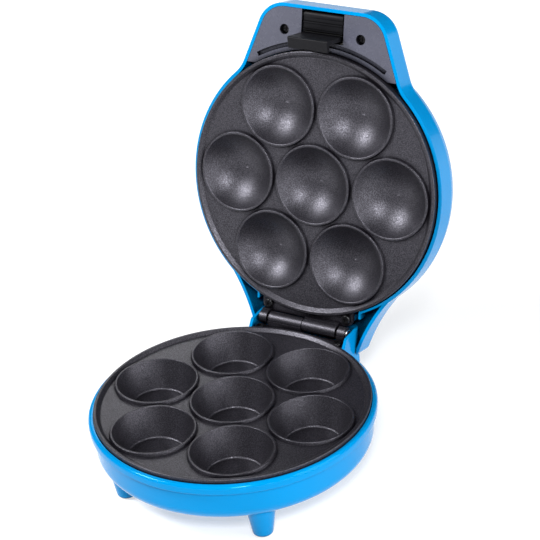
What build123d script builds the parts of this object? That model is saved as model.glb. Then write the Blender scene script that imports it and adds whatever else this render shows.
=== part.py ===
from build123d import *
from math import cos, pi, radians, sin, sqrt
import os

# Mini cake maker: two hinged round shells, each with a cast cooking plate, on four moulded feet.
# Millimetres. The two halves are drawn closed, with the cup lips of the lower plate at height 0
# and the plate centre on the Z axis. +Y runs to the hinge and -Y to the handle.
# At the end the lid is swung open about the hinge pin, and all is moved to stand on Z = 0.

# Seven cavities: one in the middle and six around it
OUTER_CAVITIES = 6
CAVITY_R = 27.6
LIP_W = 1.4
LIP_SPACING = 2.9
LIP_ROUND = 0.5
LIP_FLARE = 0.8
CUP_DEPTH = 21.0
CUP_DRAFT = 7.6
CUP_FLOOR_FILLET = 1.8
DOME_DEPTH = 15.0
CAVITY_WALL = 2.2

# Cast cooking plates
RIM_MARGIN = 5.1
RIM_TOP_W = 2.0
RIM_SLOPE_W = 2.6
RIM_ROUND = 0.6
FACE_DROP = 2.2
PLATE_T = 2.4
SKIRT_DEPTH = 6.4
SKIRT_T = 2.5
PLATE_GAP = 2.0

# Hinge, one casting shape on both plates
OPEN_ANGLE = 103.4
HINGE_REACH = 8.3
PIN_R = 2.0
RUN_CLEAR = 0.05
PIN_HEAD_R = 3.4
PIN_HEAD_T = 1.2
PIN_END = 0.2
PIN_RIVET = 0.8
BARREL_R = 4.7
BARREL_LEN = 26.7
SEAM_GAP = 0.6
LUG_GAP = 1.8
LUG_LEN = 6.0
EAR_SIDE = 1.6
EAR_REACH = 4.3
EAR_T = 3.0
EAR_TOP = 3.5
EAR_CORNER_R = 5.0
EAR_SCREW_SIDE = 4.9
EAR_SCREW_SETBACK = 5.3
WEB_T = 1.8

# Plate fixings
PLATE_SCREW_R = 2.0
PLATE_SCREW_LEN = 9.0
SCREW_HOLE_CLEAR = 0.2
SCREW_HEAD_R = 3.4
SCREW_HEAD_T = 2.2
FRONT_TAB_R = 5.0
FRONT_TAB_REACH = 3.5
FRONT_TAB_SIDE_GAP = 0.3
SCREW_HEAD_AIR = 0.7
BOSS_WALL = 2.2

# Base housing
BASE_SIDE_GAP = 0.5
BASE_LIP_W = 3.3
BASE_LIP_TOP = 3.0
BASE_LIP_H = 6.5
BASE_LIP_ROUND = 2.4
BASE_LIP_UNDER_ROUND = 1.0
BASE_LIP_OVERHANG = 2.5
BASE_WALL = 2.4
BASE_LEAN = 0.9
BASE_CORNER_R = 10.0
FLOOR_ROOM = 5.1

# Hinge block at the rear of the base
BLOCK_SIDE_ROOM = 0.6
BLOCK_WALL = 2.2
BLOCK_REAR_REACH = 12.3
BLOCK_FRONT_REACH = 12.9
BLOCK_TOP = 2.2
BLOCK_SLOPE_RUN = 4.8
BLOCK_SLOPE_DROP = 6.0
BLOCK_CORNER_R = 4.5
BLOCK_HEEL_R = 4.0
BLOCK_ROOM_DEPTH = 37.0

# Feet with their pegs and pads
FOOT_INSET = 16.05
FOOT_ANGLE = 41.7
REAR_FOOT_INSET = 14.5
REAR_FOOT_SETBACK = 3.8
FOOT_TOP_R = 10.2
FOOT_TIP_R = 6.8
FOOT_H = 21.5
FOOT_ROUND = 2.2
FOOT_CORE_R = 3.0
FOOT_CORE_H = 15.0
FOOT_PEG_R = 2.5
FOOT_PEG_PROUD = 1.5
PEG_CLEAR = 0.05
PAD_R = 4.4
PAD_T = 1.6
PAD_PROUD = 0.4

# Posts that fix the lower plate to the base floor
POST_INSET = 15.0
POST_ANGLES = (30.0, 150.0, 270.0)
POST_JOINT = 16.0
POST_WALL = 2.6
PLATE_POST_WALL = 2.0
POST_SCREW_R = 1.6
POST_SCREW_TOP = 8.0
POST_HEAD_R = 2.6
POST_HEAD_T = 2.0
POST_HEAD_CLEAR = 0.4
POST_SEAT = 1.5

# Vents in the base floor
VENT_COUNT = 7
VENT_PITCH = 6.0
VENT_LEN = 34.0
VENT_W = 2.4

# Cord inlet in the rear side wall, with its rubber bush
INLET_R = 4.6
INLET_ANGLE = 130.0
INLET_RISE = 12.5
INLET_BOSS_W = 3.0
INLET_PROUD = 0.3
BUSH_FLANGE_W = 1.8
BUSH_FLANGE_T = 1.6
BUSH_BORE_R = 3.1
BUSH_RING_W = 0.8
BUSH_RING_T = 1.5
BUSH_SLACK = 1.8

# Lid housing
LID_WALL = 2.4
LID_SIDE_GAP = 1.0
LID_RIM = 6.4
LID_ROOM = 12.1
LID_TOP_ROUND = 12.0
LID_DOME_STEP = 0.9
SHOULDER_DROP = 8.5
SHOULDER_ROUND = 5.8
HANDLE_REACH = 27.1
HANDLE_CORNER_X = 44.9
HANDLE_FLARE = 18.3
HANDLE_CORNER_R = 21.0
HANDLE_BLEND_R = 25.0
SKIRT_ROOT_FLARE = 24.0
SKIRT_MID_FLARE = 12.2
SKIRT_MID_SETBACK = 8.8
SKIRT_END_GAP = 3.7
SKIRT_END_REACH = 11.7
SKIRT_TAPER = 1.6
LID_REAR_REACH = 17.5
SKIRT_CORNER_R = 6.0
SKIRT_BLEND_R = 12.0
NOTCH_SIDE = 1.2
STOP_GAP = 0.15
INNER_WALL_T = 1.6
INNER_WALL_H = 9.0
RIB_LEN = 6.0

# Handle cover
COVER_T = 2.5
COVER_GAP = 0.25
COVER_PLATE_GAP = 0.7
COVER_LENGTH = 45.0
GROOVE_SETBACK = 4.5
GROOVE_W = 3.2
GROOVE_DEPTH = 1.9
GROOVE_HALF_ANGLE = 30.0
COVER_SCREW_SIDE = 13.3
COVER_SCREW_SETBACK = 18.5
COVER_SCREW_R = 1.6
COVER_SCREW_LEN = 12.0
COVER_SCREW_SPARE = 1.0
COVER_HEAD_R = 3.1
COVER_HEAD_T = 2.0
COVER_CUP_R = 3.6
COVER_CUP_WALL = 1.4
COVER_CUP_DEPTH = 5.0
NOTCH_SIDE_GAP = 1.3
NOTCH_SETBACK = 5.8

# Latch
LATCH_HALF_W = 15.2
LATCH_EDGE = 4.3
LATCH_PIVOT_RISE = 4.2
LATCH_BAR_R = 3.6
LATCH_PIN_R = 1.5
LATCH_T = 3.0
LATCH_PLATE_LIFT = 0.4
LATCH_ARM_REACH = 8.2
LATCH_ARM_ROUND = 0.9
HOOK_DROP = 1.9
HOOK_SIDE_GAP = 0.4
HOOK_T = 2.0
HOOK_SLOPE = 2.6
LATCH_RIB_H = 0.6
LATCH_RIB_W = 1.0
LATCH_RIB_SETBACK = 2.0
CHEEK_T = 2.6
SPRING_WIRE_R = 0.3
SPRING_COIL_R = 2.05
SPRING_TURNS = 5
SPRING_PITCH = 1.1
SPRING_SLOT_GAP = 0.6
SPRING_AIR = 0.3

# Heating
ELEMENT_R = 3.0
ELEMENT_Z = 13.0
ELEMENT_GAP_ANGLE = 22.0
ELEMENT_BEND_R = 5.0
ELEMENT_LEG = 6.0
CLIP_T = 0.8
CLIP_W = 7.0
CLIP_INNER = 3.05
CLIP_OUTER = 3.4
CLIP_BOSS_GAP = 1.55
CLIP_BOSS_R = 2.6
CLIP_SCREW_R = 1.25
CLIP_HEAD_R = 2.3
CLIP_HEAD_T = 1.4
CLIP_ANGLES = (30.0, 150.0, 270.0)
REFLECTOR_T = 0.8
REFLECTOR_MARGIN = 7.5
REFLECTOR_EDGE_H = 3.0
REFLECTOR_GAP = 2.0
REFLECTOR_HOLE_GAP = 1.5
STAKE_R = 1.5
STAKE_POST_R = 3.2
STAKE_PROUD = 1.5
STAKE_INSET = 19.0
STAKE_ANGLES = (90.0, 210.0, 330.0)
THERMOSTAT_R = 7.5
THERMOSTAT_H = 6.0
THERMOSTAT_INSET = 16.0
BLADE_W = 4.8
BLADE_T = 0.8
BLADE_LEN = 6.0
FUSE_R = 2.0
FUSE_LEN = 11.0
FUSE_LEAD_R = 0.5
FUSE_LEAD_LEN = 5.0
FUSE_INSET = 15.0
FUSE_ANGLE = 215.0
TERMINAL_W = 22.0
TERMINAL_D = 9.0
TERMINAL_H = 8.0
TERMINAL_SCREW_R = 1.7
TERMINAL_SCREW_DEPTH = 3.0
TERMINAL_WIRE_R = 1.4
TERMINAL_REACH = 0.7

# How far a cut runs on past the face that it opens
CUT_OVER = 1.0

# Indicator lamps on top of the handle
LAMP_X = 9.0
LAMP_SETBACK = 19.5
LENS_R = 3.6
LENS_WALL = 1.0
LENS_FLANGE_W = 1.0
LENS_PROUD = 1.2
LENS_DEPTH = 2.0
LAMP_BODY_R = 2.6
LAMP_BODY_LEN = 7.5
LAMP_GAP = 4.0
HOLDER_D = 12.0
HOLDER_T = 1.6
HOLDER_SIDE_GAP = 0.8

# Sizes across and along, which follow from the ones above
LIP_R = CAVITY_R + LIP_W
CAVITY_PITCH = 2 * LIP_R + LIP_SPACING
PLATE_R = CAVITY_PITCH + LIP_R + RIM_MARGIN
HINGE_Y = PLATE_R + HINGE_REACH
HINGE_Z = PLATE_GAP / 2
BARREL_END = SEAM_GAP / 2 + BARREL_LEN
LUG_X = BARREL_END + LUG_GAP
LUG_END = LUG_X + LUG_LEN
EAR_HALF_W = LUG_END + EAR_SIDE
EAR_Y = PLATE_R + EAR_REACH
EAR_SCREW_X = EAR_HALF_W - EAR_SCREW_SIDE
EAR_SCREW_Y = EAR_Y - EAR_SCREW_SETBACK
EAR_BOTTOM = EAR_TOP + EAR_T
BOSS_R = PLATE_SCREW_R + BOSS_WALL
PLATE_SKIRT_IN = PLATE_R - SKIRT_T
BASE_BORE_R = PLATE_R + BASE_SIDE_GAP
BASE_LIP_R = BASE_BORE_R + BASE_LIP_W
BASE_LIP_LOW = BASE_LIP_TOP + BASE_LIP_H
BASE_TOP_R = BASE_LIP_R - BASE_LIP_OVERHANG
BASE_BOTTOM_R = BASE_TOP_R - BASE_LEAN
BLOCK_HALF_W = EAR_HALF_W + BLOCK_SIDE_ROOM + BLOCK_WALL
BLOCK_REAR_Y = HINGE_Y + BLOCK_REAR_REACH
BLOCK_FRONT_Y = HINGE_Y - BLOCK_FRONT_REACH
FOOT_PITCH_R = BASE_TOP_R - FOOT_INSET
POST_PITCH_R = PLATE_R - POST_INSET
STAKE_PITCH_R = PLATE_R - STAKE_INSET
REFLECTOR_R = PLATE_R - REFLECTOR_MARGIN
ELEMENT_RING_R = CAVITY_PITCH / 2
CLIP_BOSS_PITCH_R = ELEMENT_RING_R + ELEMENT_R + CLIP_BOSS_R + CLIP_BOSS_GAP
INLET_SEAT_R = BASE_TOP_R + INLET_PROUD
LID_BORE_R = PLATE_R + LID_SIDE_GAP
LID_R = LID_BORE_R + LID_WALL
LID_DOME_R = LID_R - LID_DOME_STEP
HANDLE_FRONT_Y = LID_R + HANDLE_REACH
HANDLE_ROOT_X = HANDLE_CORNER_X + HANDLE_FLARE
SKIRT_ROOT_X = BLOCK_HALF_W + SKIRT_ROOT_FLARE
SKIRT_MID_X = BLOCK_HALF_W + SKIRT_MID_FLARE
SKIRT_MID_Y = HINGE_Y - SKIRT_MID_SETBACK
SKIRT_END_X = BLOCK_HALF_W + SKIRT_END_GAP
SKIRT_END_Y = HINGE_Y + SKIRT_END_REACH
LID_REAR_Y = HINGE_Y + LID_REAR_REACH
NOTCH_HALF_W = BLOCK_HALF_W + NOTCH_SIDE
COVER_INNER_R = PLATE_R + COVER_PLATE_GAP
GROOVE_R = COVER_INNER_R + GROOVE_SETBACK
LATCH_NOTCH_HALF_W = LATCH_HALF_W + NOTCH_SIDE_GAP
LATCH_NOTCH_Y = COVER_INNER_R + NOTCH_SETBACK
LATCH_PIVOT_Y = HANDLE_FRONT_Y - LID_WALL - LATCH_EDGE
LATCH_ARM_Y = BASE_LIP_R + LATCH_ARM_REACH
COVER_SCREW_X = LATCH_NOTCH_HALF_W + COVER_SCREW_SIDE
COVER_SCREW_Y = HANDLE_FRONT_Y - COVER_SCREW_SETBACK
FRONT_TAB_X = LATCH_HALF_W + FRONT_TAB_R + FRONT_TAB_SIDE_GAP
FRONT_TAB_Y = PLATE_R + FRONT_TAB_REACH
LAMP_Y = HANDLE_FRONT_Y - LAMP_SETBACK

# Heights, counted down from the lips in the base and in each casting
PLATE_BOTTOM = FACE_DROP + PLATE_T
CUP_BOTTOM = CUP_DEPTH + CAVITY_WALL
REFLECTOR_Z = CUP_BOTTOM + REFLECTOR_GAP
UPPER_REFLECTOR_Z = DOME_DEPTH + CAVITY_WALL + REFLECTOR_GAP
CLIP_Z = ELEMENT_Z + ELEMENT_R
BASE_FLOOR_TOP = REFLECTOR_Z + REFLECTOR_T + FLOOR_ROOM
BASE_DEPTH = BASE_FLOOR_TOP + BASE_WALL
FOOT_TIP = BASE_DEPTH + FOOT_H
FLOOR_Z = -(FOOT_TIP + PAD_PROUD)
INLET_DROP = BASE_DEPTH - INLET_RISE
POST_HEAD_Z = BASE_FLOOR_TOP - POST_SEAT
HOOK_TOP = BASE_LIP_LOW + HOOK_DROP

# Heights in the closed lid
LID_CEILING = PLATE_GAP + UPPER_REFLECTOR_Z + REFLECTOR_T + LID_ROOM
LID_TOP = LID_CEILING + LID_WALL
SHOULDER_TOP = LID_TOP - SHOULDER_DROP
SHOULDER_CEILING = SHOULDER_TOP - LID_WALL
BOSS_TOP = SHOULDER_TOP - LID_WALL / 2
COVER_TOP = LID_RIM + COVER_T
COVER_CUP_TOP = LID_RIM + COVER_CUP_DEPTH + COVER_CUP_WALL
FRONT_TAB_DROP = COVER_TOP + SCREW_HEAD_T + SCREW_HEAD_AIR - PLATE_GAP
FRONT_TAB_LOW = FRONT_TAB_DROP + EAR_T
LATCH_PIVOT_Z = LID_RIM + LATCH_PIVOT_RISE
LAMP_FOOT_Z = SHOULDER_CEILING - LAMP_GAP - LAMP_BODY_LEN

# The lid's rear wall is cut away as far as lets its edge meet the block when the lid is open
STOP_REACH = BLOCK_REAR_REACH + STOP_GAP
NOTCH_TOP = HINGE_Z + (STOP_REACH - LID_REAR_REACH * cos(radians(OPEN_ANGLE))) / sin(radians(OPEN_ANGLE))


def at(angle, radius):
    """Point in the plan at an angle in degrees and a radius."""
    return radius * cos(radians(angle)), radius * sin(radians(angle))


def cavity_centres():
    """Centres of the seven cavities."""
    step = 360 / OUTER_CAVITIES
    return [(0.0, 0.0)] + [at(i * step, CAVITY_PITCH) for i in range(OUTER_CAVITIES)]


def turned(points, rounds=()):
    """Solid turned about Z from an outline of (radius, height) points, some corners rounded."""
    face = make_face(Plane.XZ * Polyline(*points, close=True))
    for index, radius in rounds:
        x, z = points[index]
        near = face.vertices().filter_by(lambda v: abs(v.X - x) < 0.01 and abs(v.Z - z) < 0.01)
        face = fillet(near, radius)
    return revolve(face, Axis.Z)


def rod(radius, z_low, z_high, x=0.0, y=0.0):
    """Upright round bar between two heights."""
    bar = Cylinder(radius, z_high - z_low, align=(Align.CENTER, Align.CENTER, Align.MIN))
    return Pos(x, y, z_low) * bar


def cross_rod(radius, x_low, x_high, y, z):
    """Round bar along X between two x values."""
    bar = Cylinder(radius, x_high - x_low, align=(Align.CENTER, Align.CENTER, Align.MIN))
    return Pos(x_low, y, z) * Rot(0, 90, 0) * bar


def block(x_low, x_high, y_low, y_high, z_low, z_high):
    """Box between corner values."""
    box = Box(x_high - x_low, y_high - y_low, z_high - z_low, align=Align.MIN)
    return Pos(x_low, y_low, z_low) * box


def yz_prism(points, x_low, x_high):
    """Prism along X over an outline of (y, z) points."""
    face = make_face(Plane.YZ * Polyline(*points, close=True))
    return Pos(x_low, 0, 0) * extrude(face, amount=x_high - x_low, dir=(1, 0, 0))


def pan_screw(head_r, head_t, shaft_r, shaft_len):
    """Cross-head screw along Z, the head's underside at height 0 and the shaft below it."""
    head = fillet(rod(head_r, 0, head_t).edges().group_by(Axis.Z)[-1], head_t * 0.45)
    slot = Box(head_r * 1.1, head_t * 0.32, head_t)
    drive = Pos(0, 0, head_t) * (slot + Rot(0, 0, 90) * slot)
    return head - drive + rod(shaft_r, -shaft_len, 0)


# Cast plates, drawn with the lips at height 0 and the cavities hanging below

def cup_outline(grow):
    """Half section of a cup, grown outwards by a wall."""
    lean = CUP_DRAFT / CUP_DEPTH
    top_r = CAVITY_R + grow * sqrt(1 + lean * lean)
    floor = -CUP_DEPTH - grow
    line = Polyline((0, 0), (top_r, 0), (top_r + lean * floor, floor), (0, floor), close=True)
    face = make_face(Plane.XZ * line)
    corner = face.vertices().filter_by(lambda v: v.X > 1 and v.Z < -1)
    return fillet(corner, CUP_FLOOR_FILLET + grow)


def dome_outline(grow):
    """Half section of a dome-shaped cavity, grown outwards by a wall."""
    ball_r = (CAVITY_R ** 2 + DOME_DEPTH ** 2) / (2 * DOME_DEPTH) + grow
    centre = ball_r - DOME_DEPTH - grow
    rim_r = sqrt(ball_r ** 2 - centre ** 2)
    middle = (ball_r * sin(pi / 6), centre - ball_r * cos(pi / 6))
    arc = ThreePointArc((rim_r, 0), middle, (0, centre - ball_r))
    half = make_face([Line((0, 0), (rim_r, 0)), arc, Line((0, centre - ball_r), (0, 0))])
    return Plane.XZ * half


def hinge_knuckle(x_low, x_high):
    """Barrel on the pin line with its web to the rear flange."""
    barrel = cross_rod(BARREL_R, x_low, x_high, HINGE_Y, HINGE_Z)
    foot = block(x_low, x_high, EAR_Y - EAR_T, HINGE_Y, -EAR_BOTTOM, -EAR_TOP)
    web = block(x_low, x_high, EAR_Y - WEB_T, HINGE_Y, -EAR_TOP, HINGE_Z)
    return barrel + foot + web


def rear_flange():
    """Flat flange behind the rim with two rounded screw ears."""
    start = PLATE_SKIRT_IN * 0.75
    plan = Pos(0, (EAR_Y + start) / 2) * Rectangle(2 * EAR_HALF_W, EAR_Y - start)
    plan = fillet(plan.vertices().group_by(Axis.Y)[-1], EAR_CORNER_R)
    return Pos(0, 0, -EAR_BOTTOM) * extrude(plan, amount=EAR_T)


def plate_disc():
    """Round plate with its face, rim and short outer skirt."""
    rim_in = PLATE_R - RIM_TOP_W
    points = [
        (0, -FACE_DROP), (rim_in - RIM_SLOPE_W, -FACE_DROP), (rim_in, 0), (PLATE_R, 0),
        (PLATE_R, -SKIRT_DEPTH), (PLATE_SKIRT_IN, -SKIRT_DEPTH), (PLATE_SKIRT_IN, -PLATE_BOTTOM),
        (0, -PLATE_BOTTOM),
    ]
    return turned(points, ((1, 2 * RIM_ROUND), (2, RIM_ROUND), (3, RIM_ROUND)))


def cavity_lip():
    """Raised pad that becomes a lip once the cavity is cut out of it."""
    foot_r = LIP_R + LIP_FLARE
    points = [(0, -PLATE_BOTTOM), (0, 0), (LIP_R, 0), (foot_r, -FACE_DROP), (foot_r, -PLATE_BOTTOM)]
    return turned(points, ((2, LIP_ROUND),))


def is_mouth(edge):
    """True for the round inner edge on top of a lip."""
    return abs(edge.radius - CAVITY_R) < 0.01 and abs(edge.arc_center.Z) < 0.01


def element_saddle(angle):
    """Rib below the plate that the heating tube nests in."""
    half = ELEMENT_R * 0.8
    inner = ELEMENT_RING_R - half
    rib = block(inner, inner + 2 * half, -CLIP_W / 2, CLIP_W / 2, -ELEMENT_Z, -PLATE_BOTTOM)
    return Rot(0, 0, angle) * rib - Pos(0, 0, -ELEMENT_Z) * Torus(ELEMENT_RING_R, ELEMENT_R)


def casting(outline, bore_r):
    """Cooking plate with its rim, cavities, rear flange, hinge knuckles and element seats."""
    plate = plate_disc() + (rear_flange() - rod(PLATE_SKIRT_IN, -EAR_BOTTOM, 0))
    plate += hinge_knuckle(-BARREL_END, -SEAM_GAP / 2)
    plate += hinge_knuckle(LUG_X, LUG_END)
    plate -= cross_rod(bore_r, -EAR_HALF_W, EAR_HALF_W, HINGE_Y, HINGE_Z)
    for side in (-1, 1):
        hole_r = PLATE_SCREW_R + SCREW_HOLE_CLEAR
        plate -= rod(hole_r, -EAR_BOTTOM, 0, side * EAR_SCREW_X, EAR_SCREW_Y)
    shell = revolve(outline(CAVITY_WALL), Axis.Z) & rod(PLATE_R, -BASE_DEPTH, -FACE_DROP - LIP_ROUND)
    lip = cavity_lip()
    hollow = revolve(outline(0), Axis.Z)
    for x, y in cavity_centres():
        plate += Pos(x, y, 0) * shell
        plate += Pos(x, y, 0) * lip
    for x, y in cavity_centres():
        plate -= Pos(x, y, 0) * hollow
    mouths = plate.edges().filter_by(GeomType.CIRCLE).filter_by(is_mouth)
    plate = fillet(mouths, LIP_ROUND)
    for angle in CLIP_ANGLES:
        x, y = at(angle, CLIP_BOSS_PITCH_R)
        plate += rod(CLIP_BOSS_R, -CLIP_Z, -PLATE_BOTTOM, x, y)
        plate -= rod(CLIP_SCREW_R, -CLIP_Z, -PLATE_BOTTOM - CLIP_T, x, y)
        plate += element_saddle(angle)
    return plate


def front_tab(side):
    """Screw tab below the handle, mirrored by its side."""
    x = side * FRONT_TAB_X
    z_low = -FRONT_TAB_LOW
    z_high = -FRONT_TAB_DROP
    ring = rod(PLATE_R, z_low, -PLATE_BOTTOM) - rod(PLATE_SKIRT_IN, z_low, -PLATE_BOTTOM)
    strip = block(x - FRONT_TAB_R, x + FRONT_TAB_R, -FRONT_TAB_Y, -PLATE_R / 2, z_low, -PLATE_BOTTOM)
    riser = ring & strip
    arm = block(x - FRONT_TAB_R, x + FRONT_TAB_R, -FRONT_TAB_Y, -PLATE_R / 2, z_low, z_high)
    arm -= rod(PLATE_SKIRT_IN, z_low, z_high)
    tab = riser + arm + rod(FRONT_TAB_R, z_low, z_high, x, -FRONT_TAB_Y)
    return tab - rod(PLATE_SCREW_R + SCREW_HOLE_CLEAR, z_low, z_high, x, -FRONT_TAB_Y)


def lower_plate():
    plate = casting(cup_outline, PIN_R)
    for angle in POST_ANGLES:
        x, y = at(angle, POST_PITCH_R)
        plate += rod(POST_SCREW_R + PLATE_POST_WALL, -POST_JOINT, -PLATE_BOTTOM, x, y)
        plate -= rod(POST_SCREW_R, -POST_JOINT, -POST_SCREW_TOP, x, y)
    return plate


def upper_plate():
    plate = casting(dome_outline, PIN_R + RUN_CLEAR)
    for side in (-1, 1):
        plate += front_tab(side)
    return plate


def flipped(part):
    """From the casting's own frame to its place in the closed lid."""
    return Pos(0, 0, PLATE_GAP) * Rot(0, 180, 0) * part


# Heating, drawn below a casting like its cavities

def heating_element():
    """Open ring of sheathed tube with both ends turned down."""
    start = 90 + ELEMENT_GAP_ANGLE
    ring = Pos(0, 0, -ELEMENT_Z) * CenterArc((0, 0), ELEMENT_RING_R, start, 360 - 2 * ELEMENT_GAP_ANGLE)
    edges = [ring]
    down = Vector(0, 0, -1)
    half_turn = sin(pi / 4)
    for end_of_ring, sign in ((0, -1), (1, 1)):
        point = ring @ end_of_ring
        along = (ring % end_of_ring) * sign
        middle = point + along * (ELEMENT_BEND_R * half_turn) + down * (ELEMENT_BEND_R * (1 - half_turn))
        end = point + along * ELEMENT_BEND_R + down * ELEMENT_BEND_R
        edges.append(ThreePointArc(point, middle, end))
        edges.append(Line(end, end + down * ELEMENT_LEG))
    path = Wire(edges)
    return sweep(Plane(origin=path @ 0, z_dir=path % 0) * Circle(ELEMENT_R), path=path)


def element_leg_places():
    """Plan position of the element's two turned-down ends."""
    half = radians(ELEMENT_GAP_ANGLE)
    x = ELEMENT_RING_R * sin(half) - ELEMENT_BEND_R * cos(half)
    y = ELEMENT_RING_R * cos(half) + ELEMENT_BEND_R * sin(half)
    return [(-x, y), (x, y)]


def element_clips():
    inner = ELEMENT_RING_R - CLIP_INNER
    outer = CLIP_BOSS_PITCH_R + CLIP_OUTER
    strip = block(inner, outer, -CLIP_W / 2, CLIP_W / 2, -CLIP_Z - CLIP_T, -CLIP_Z)
    strip -= rod(CLIP_SCREW_R + SCREW_HOLE_CLEAR, -CLIP_Z - CLIP_T, -CLIP_Z, CLIP_BOSS_PITCH_R, 0)
    return [Rot(0, 0, angle) * strip for angle in CLIP_ANGLES]


def clip_screws():
    depth = CLIP_Z - PLATE_BOTTOM - CLIP_T
    screw = Rot(180, 0, 0) * pan_screw(CLIP_HEAD_R, CLIP_HEAD_T, CLIP_SCREW_R, depth)
    return [Pos(*at(a, CLIP_BOSS_PITCH_R), -CLIP_Z - CLIP_T) * screw for a in CLIP_ANGLES]


def reflector(z_top, post_r):
    """Thin sheet with a turned-up edge and holes for posts, stakes and element ends."""
    z_low = -z_top - REFLECTOR_T
    edge_in = REFLECTOR_R - REFLECTOR_T
    sheet = turned([
        (0, z_low), (REFLECTOR_R, z_low), (REFLECTOR_R, -z_top + REFLECTOR_EDGE_H),
        (edge_in, -z_top + REFLECTOR_EDGE_H), (edge_in, -z_top), (0, -z_top),
    ])
    holes = [(at(a, POST_PITCH_R), post_r + REFLECTOR_HOLE_GAP) for a in POST_ANGLES if post_r]
    holes += [(at(a, STAKE_PITCH_R), STAKE_R) for a in STAKE_ANGLES]
    holes += [(place, ELEMENT_R + REFLECTOR_HOLE_GAP) for place in element_leg_places()]
    for (x, y), radius in holes:
        sheet -= rod(radius, z_low, -z_top, x, y)
    return sheet


def stakes(z_from, z_sheet, z_end):
    """Posts with melted pegs that carry a reflector sheet."""
    low, high = sorted((z_from, z_sheet))
    peg_low, peg_high = sorted((z_sheet, z_end))
    places = [at(angle, STAKE_PITCH_R) for angle in STAKE_ANGLES]
    return [rod(STAKE_POST_R, low, high, x, y) + rod(STAKE_R, peg_low, peg_high, x, y) for x, y in places]


# Base

def base_round():
    """Turned outside of the base with its rolled lip."""
    points = [
        (0, -BASE_DEPTH), (BASE_BOTTOM_R, -BASE_DEPTH), (BASE_TOP_R, -BASE_LIP_LOW),
        (BASE_LIP_R, -BASE_LIP_LOW), (BASE_LIP_R, -BASE_LIP_TOP), (0, -BASE_LIP_TOP),
    ]
    return turned(points, ((1, BASE_CORNER_R), (3, BASE_LIP_UNDER_ROUND), (4, BASE_LIP_ROUND)))


def base_hollow():
    """Inside of the round shell, with the ledge that carries the plate."""
    inner_low = BASE_BOTTOM_R - BASE_WALL
    inner_high = BASE_TOP_R - BASE_WALL
    points = [
        (0, -BASE_FLOOR_TOP), (inner_low, -BASE_FLOOR_TOP), (inner_high, -SKIRT_DEPTH),
        (BASE_BORE_R, -SKIRT_DEPTH), (BASE_BORE_R, CUT_OVER), (0, CUT_OVER),
    ]
    return turned(points, ((1, BASE_CORNER_R - BASE_WALL),))


def hinge_block():
    """Block around the hinge, its side walls sloped at the front."""
    outline = [
        (0, -BASE_DEPTH), (BLOCK_REAR_Y, -BASE_DEPTH), (BLOCK_REAR_Y, BLOCK_TOP),
        (BLOCK_FRONT_Y + BLOCK_SLOPE_RUN, BLOCK_TOP), (BLOCK_FRONT_Y, BLOCK_TOP - BLOCK_SLOPE_DROP),
        (BLOCK_FRONT_Y, -BASE_LIP_LOW), (0, -BASE_LIP_LOW),
    ]
    body = yz_prism(outline, -BLOCK_HALF_W, BLOCK_HALF_W)
    body = fillet(body.edges().filter_by(Axis.Z).group_by(Axis.Y)[-1], BLOCK_CORNER_R)
    heel = body.edges().group_by(Axis.Z)[0].filter_by(Axis.X).sort_by(Axis.Y)[-1]
    return fillet(heel, BLOCK_HEEL_R)


def hinge_block_room():
    """Hollow of the hinge block, open at the top and to the round shell."""
    half = BLOCK_HALF_W - BLOCK_WALL
    rear = BLOCK_REAR_Y - BLOCK_WALL
    room = block(-half, half, rear - BLOCK_ROOM_DEPTH, rear, -BASE_FLOOR_TOP, BLOCK_TOP + CUT_OVER)
    room = fillet(room.edges().filter_by(Axis.Z).group_by(Axis.Y)[-1], BLOCK_CORNER_R - BLOCK_WALL)
    heel = room.edges().group_by(Axis.Z)[0].filter_by(Axis.X).sort_by(Axis.Y)[-1]
    return fillet(heel, BLOCK_HEEL_R - BLOCK_WALL)


def foot_places():
    front = [at(270 + side * FOOT_ANGLE, FOOT_PITCH_R) for side in (-1, 1)]
    rear = [(side * (BLOCK_HALF_W - REAR_FOOT_INSET), HINGE_Y - REAR_FOOT_SETBACK) for side in (-1, 1)]
    return front + rear


def feet():
    """Four tapered feet, shaped at the top to the shell, each with a peg through its floor."""
    outside = base_round() + hinge_block()
    solids = []
    for x, y in foot_places():
        cone = Cone(FOOT_TIP_R, FOOT_TOP_R, FOOT_H, align=(Align.CENTER, Align.CENTER, Align.MIN))
        foot = fillet((Pos(x, y, -FOOT_TIP) * cone).edges().group_by(Axis.Z)[0], FOOT_ROUND)
        foot += rod(FOOT_TOP_R, -BASE_DEPTH, -BASE_FLOOR_TOP, x, y)
        foot -= outside
        foot += rod(FOOT_PEG_R, -BASE_DEPTH - FOOT_PEG_PROUD, -BASE_FLOOR_TOP + FOOT_PEG_PROUD, x, y)
        foot -= rod(PAD_R, -FOOT_TIP, -FOOT_TIP + PAD_T - PAD_PROUD, x, y)
        foot -= rod(FOOT_CORE_R, -FOOT_TIP, -FOOT_TIP + FOOT_CORE_H, x, y)
        solids.append(foot)
    return solids


def foot_pads():
    return [rod(PAD_R, FLOOR_Z, FLOOR_Z + PAD_T, x, y) for x, y in foot_places()]


def inlet_place(part):
    """Moves a piece drawn along Z to the cord inlet, its Z pointing outwards."""
    return Rot(0, 0, INLET_ANGLE - 90) * Pos(0, INLET_SEAT_R, -INLET_DROP) * Rot(-90, 0, 0) * part


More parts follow.
